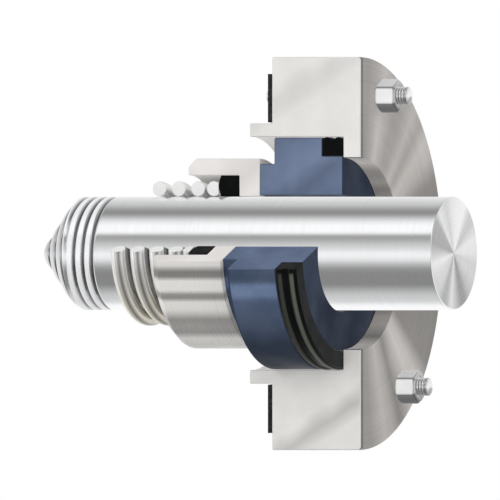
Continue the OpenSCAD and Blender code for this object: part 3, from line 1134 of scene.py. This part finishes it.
def nut_rings(low, high):
    """Rings of a nut's outline, swept by angle: a closed loop through its outside, faces and bore.

    The hexagon's radius is half the width across flats, over the sum of the powers of the cosines
    to its six flats, raised to minus one over the power, which rounds its edges. Near a face the
    radius is that of a cone at 30 degrees where that is smaller, joined to the hexagon by the same
    sum of powers. How bright a point is follows its angle on the flats, and is lower on the faces
    and in the bore.
    """
    middle = (low[1:] + high[1:]) / 2
    angle = np.linspace(0, 2 * np.pi, 192, endpoint=False)[:, None]
    flats = np.pi + np.arange(6) * np.pi / 3
    toward = np.clip(np.cos(angle - flats[None, :]), 0, None)
    powers = np.sum(toward ** edge_power, axis=1, keepdims=True)
    hexagon = nut_flats / 2 * powers ** (-1 / edge_power)
    depth = np.concatenate([np.linspace(0, 1.0, 12), np.linspace(1.4, 2.6, 3)])
    from_face = np.concatenate([depth, depth[::-1]])
    side_x = np.concatenate([high[0] - depth, low[0] + depth[::-1]])
    cone = nut_face_r + from_face[None, :] / np.tan(np.radians(30))
    side_r = (hexagon ** -edge_power + cone ** -edge_power) ** (-1 / edge_power)
    bore_x = np.array([low[0], low[0] + bore_chamfer, high[0] - bore_chamfer, high[0]])
    bore_r = nut_bore_r + bore_chamfer * np.array([1, 0, 0, 1])
    bore_r = np.broadcast_to(bore_r, (len(angle), len(bore_x)))
    radius = np.concatenate([side_r, bore_r], axis=1)
    x = np.concatenate([side_x, bore_x])[None, :]
    # Painted light and shade: by the angle on the flats, lower on the faces and in the bore
    flat = np.interp(np.degrees(angle), *np.transpose(flat_shades))
    side_bright = flat * (face_bright + (1 - face_bright) * smooth_step(from_face, 0.0, 1.0))
    bright = np.concatenate([side_bright, np.full(bore_r.shape, bore_bright)], axis=1)
    return around_axis(x, radius, angle, middle), bright


for node in ("nut_upper", "nut_lower"):
    rings, bright = nut_rings(*node_box(node))
    nut = add_piece(
        "hexagon_" + node, [rings], [nickel], closed=True, values={"bright": bright},
        sharp_angle=25,
    )
    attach(nut, "stationary")
    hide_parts(node)


# The studio.
# The seal stands on its gland plate on a pale floor, in soft light, and is seen level from its
# open side, turned a little to the drive end. Fields all round give the bright steel its bands.
view_turn = np.radians(24.5)
view_target = np.array([-8.81, -4.01, 1.54]) * mm
view_width = 220 * mm
view_distance = 0.8
floor_size = 3.0
floor_pale = (0.86, 0.86, 0.86, 1)
plain_level = (0.80, 0.80, 0.81, 1)
white = (1, 1, 1, 1)
key_place = (-0.34, -0.85, 0.50)
key_size = 0.7
key_power = 2.6

camera = bpy.data.objects.new("camera", bpy.data.cameras.new("camera"))
camera.data.type = "ORTHO"
camera.data.ortho_scale = view_width
view_back = np.array([np.sin(view_turn), -np.cos(view_turn), 0])
camera.location = view_target + view_back * view_distance
camera.rotation_euler = (np.pi / 2, 0, view_turn)
scene.collection.objects.link(camera)
scene.camera = camera

floor_mesh = bpy.data.meshes.new("floor")
floor_signs = [(-1, -1), (1, -1), (1, 1), (-1, 1)]
floor_corners = [(x * floor_size / 2, y * floor_size / 2, cad_low.z) for x, y in floor_signs]
floor_mesh.from_pydata(floor_corners, [], [(0, 1, 2, 3)])
floor_paint, tree, shader = new_finish("pale_floor", {"Base Color": floor_pale, "Roughness": 0.9})
path = add_node(tree, "ShaderNodeLightPath", {})
clear = add_node(tree, "ShaderNodeBsdfTransparent", {}).outputs[0]
glossy_share = {0: path.outputs["Is Glossy Ray"], 1: shader.outputs[0], 2: clear}
seen = add_node(tree, "ShaderNodeMixShader", glossy_share).outputs[0]
tree.links.new(seen, tree.nodes["Material Output"].inputs["Surface"])
floor_mesh.materials.append(floor_paint)
floor = bpy.data.objects.new("floor", floor_mesh)
scene.collection.objects.link(floor)

# Shades of the surround by the angle about the shaft's axis, in degrees up from the open side
surround_fields = [
    (-180, 255), (-138, 255), (-128, 246), (-118, 222), (-107, 208), (-97, 204), (-86, 188),
    (-76, 163), (-67, 137), (-40, 137), (-31, 150), (-22, 186), (-14, 226), (-8, 242), (-2, 248),
    (3, 240), (10, 218), (20, 196), (27, 172), (33, 154), (37, 165), (42, 240), (46, 255),
    (58, 255), (67, 238), (77, 196), (86, 150), (94, 138), (106, 168), (115, 194), (138, 220),
    (180, 250),
]
world = bpy.data.worlds.new("surround")
scene.world = world
world.use_nodes = True
tree = world.node_tree
direction = add_node(tree, "ShaderNodeTexCoord", {}).outputs["Generated"]
_, north, up = split(tree, direction)
turn = whole_turn(tree, up, maths(tree, "MULTIPLY", north, -1.0))
fields = shades(tree, turn, [(angle / 360 + 0.5, grey) for angle, grey in surround_fields])
path = add_node(tree, "ShaderNodeLightPath", {}).outputs
shown = blended(tree, path["Is Camera Ray"], fields, white)
seen_share = maths(tree, "ADD", path["Is Camera Ray"], path["Is Glossy Ray"])
seen_share = maths(tree, "ADD", seen_share, path["Is Transmission Ray"])
backdrop = blended(tree, seen_share, plain_level, shown)
tree.links.new(backdrop, tree.nodes["Background"].inputs["Color"])

key = bpy.data.objects.new("key_lamp", bpy.data.lights.new("key_lamp", "AREA"))
key.data.size = key_size
key.data.energy = key_power
key.location = key_place
key.rotation_euler = ((cad_low + cad_high) / 2 - key.location).to_track_quat("-Z", "Y").to_euler()
key.visible_camera = False
key.visible_glossy = False
scene.collection.objects.link(key)

scene.view_settings.view_transform = "Standard"
